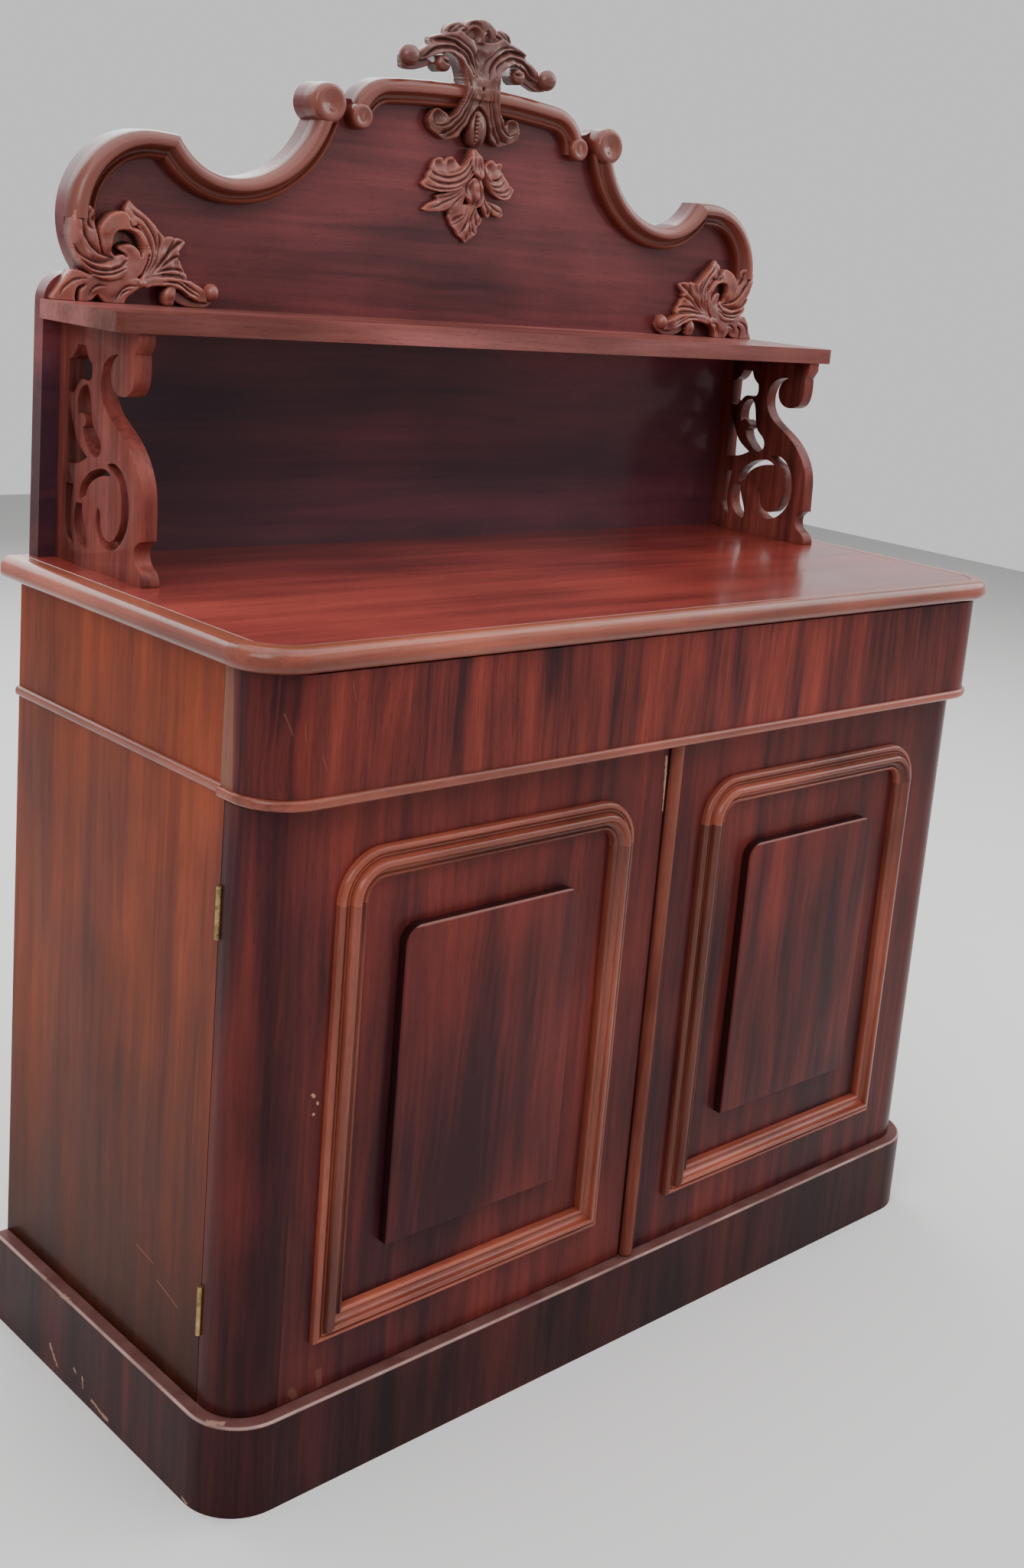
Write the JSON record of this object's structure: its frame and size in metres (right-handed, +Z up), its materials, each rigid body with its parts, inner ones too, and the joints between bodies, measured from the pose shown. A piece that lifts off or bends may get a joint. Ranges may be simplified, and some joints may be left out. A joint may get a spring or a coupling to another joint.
{
  "type": "sideboard",
  "caption": "Chiffonier sideboard: panelled hinged doors over a cupboard, full-width frieze drawer, shaped back with carved crest, and a shelf on pierced brackets.",
  "frame": {"origin": "centre of the footprint on the floor", "axes": "+X to the right seen from the front, -Y towards the front, +Z up"},
  "size_m": [1.166, 0.491, 1.535],
  "materials": {
    "mahogany_front": "gloss",
    "mahogany_side": "satin",
    "mahogany_top": "gloss",
    "mahogany_back": "gloss",
    "mahogany_moulding": "gloss",
    "mahogany_carved": "satin",
    "mahogany_plinth": "satin",
    "mahogany_bead": "satin",
    "pale_timber": "matte",
    "secondary_timber": "matte",
    "brass": "aged",
    "steel": "dull"
  },
  "bodies": {
    "carcase_body": {"left_side": "mahogany_side", "right_side": "mahogany_side", "bottom_board": "secondary_timber", "drawer_rail": "mahogany_side", "top_rail_front": "secondary_timber", "top_rail_back": "secondary_timber", "back_boards": "secondary_timber", "interior_shelf": "secondary_timber", "shelf_battens": "secondary_timber", "drawer_runners": "secondary_timber", "drawer_kickers": "secondary_timber", "plinth_front": "mahogany_plinth", "plinth_left": "mahogany_plinth", "plinth_right": "mahogany_plinth", "plinth_back": "secondary_timber", "glue_blocks": "secondary_timber", "top_board": "mahogany_top", "top_moulding_left": "mahogany_moulding", "top_moulding_front": "mahogany_moulding", "top_moulding_right": "mahogany_moulding", "side_bead_left": "mahogany_moulding", "side_bead_right": "mahogany_moulding", "carcase_hinge_leaves": "brass", "hinge_pins": "brass", "carcase_hinge_screws": "steel", "backboard": "mahogany_back", "crest_moulding_left": "mahogany_moulding", "crest_moulding_arch": "mahogany_moulding", "crest_moulding_right": "mahogany_moulding", "crest_carving": "mahogany_carved", "pendant_carving": "mahogany_carved", "corner_carving_left": "mahogany_carved", "corner_carving_right": "mahogany_carved", "upper_shelf": "mahogany_front", "bracket_left": "mahogany_carved", "bracket_right": "mahogany_carved", "superstructure_dowels": "pale_timber", "shelf_screws": "steel"},
    "drawer_body": {"drawer_front": "mahogany_front", "drawer_lipping_left": "pale_timber", "drawer_lipping_right": "pale_timber", "drawer_side_left": "secondary_timber", "drawer_side_right": "secondary_timber", "drawer_back": "secondary_timber", "drawer_bottom": "secondary_timber", "drawer_bead": "mahogany_moulding"},
    "left_door_body": {"left_door": "mahogany_front", "left_door_post": "mahogany_front", "left_door_moulding": "mahogany_moulding", "left_door_panel": "mahogany_front", "left_door_hinge_leaves": "brass", "left_door_hinge_screws": "steel"},
    "right_door_body": {"right_door": "mahogany_front", "right_door_post": "mahogany_front", "right_door_moulding": "mahogany_moulding", "right_door_panel": "mahogany_front", "meeting_bead": "mahogany_bead", "right_door_hinge_leaves": "brass", "right_door_hinge_screws": "steel"}
  },
  "joints": [
    {"name": "drawer_slide", "type": "slide", "parent": "carcase_body", "child": "drawer_body", "axis": [0, -1, 0], "range_m": [0, 0.3]},
    {"name": "left_door_hinge", "type": "hinge", "parent": "carcase_body", "child": "left_door_body", "pos_m": [-0.5602, -0.1631, 0.42], "axis": [0, 0, -1], "range_deg": [0, 170]},
    {"name": "right_door_hinge", "type": "hinge", "parent": "carcase_body", "child": "right_door_body", "pos_m": [0.5602, -0.1631, 0.42], "axis": [0, 0, 1], "range_deg": [0, 170]}
  ]
}
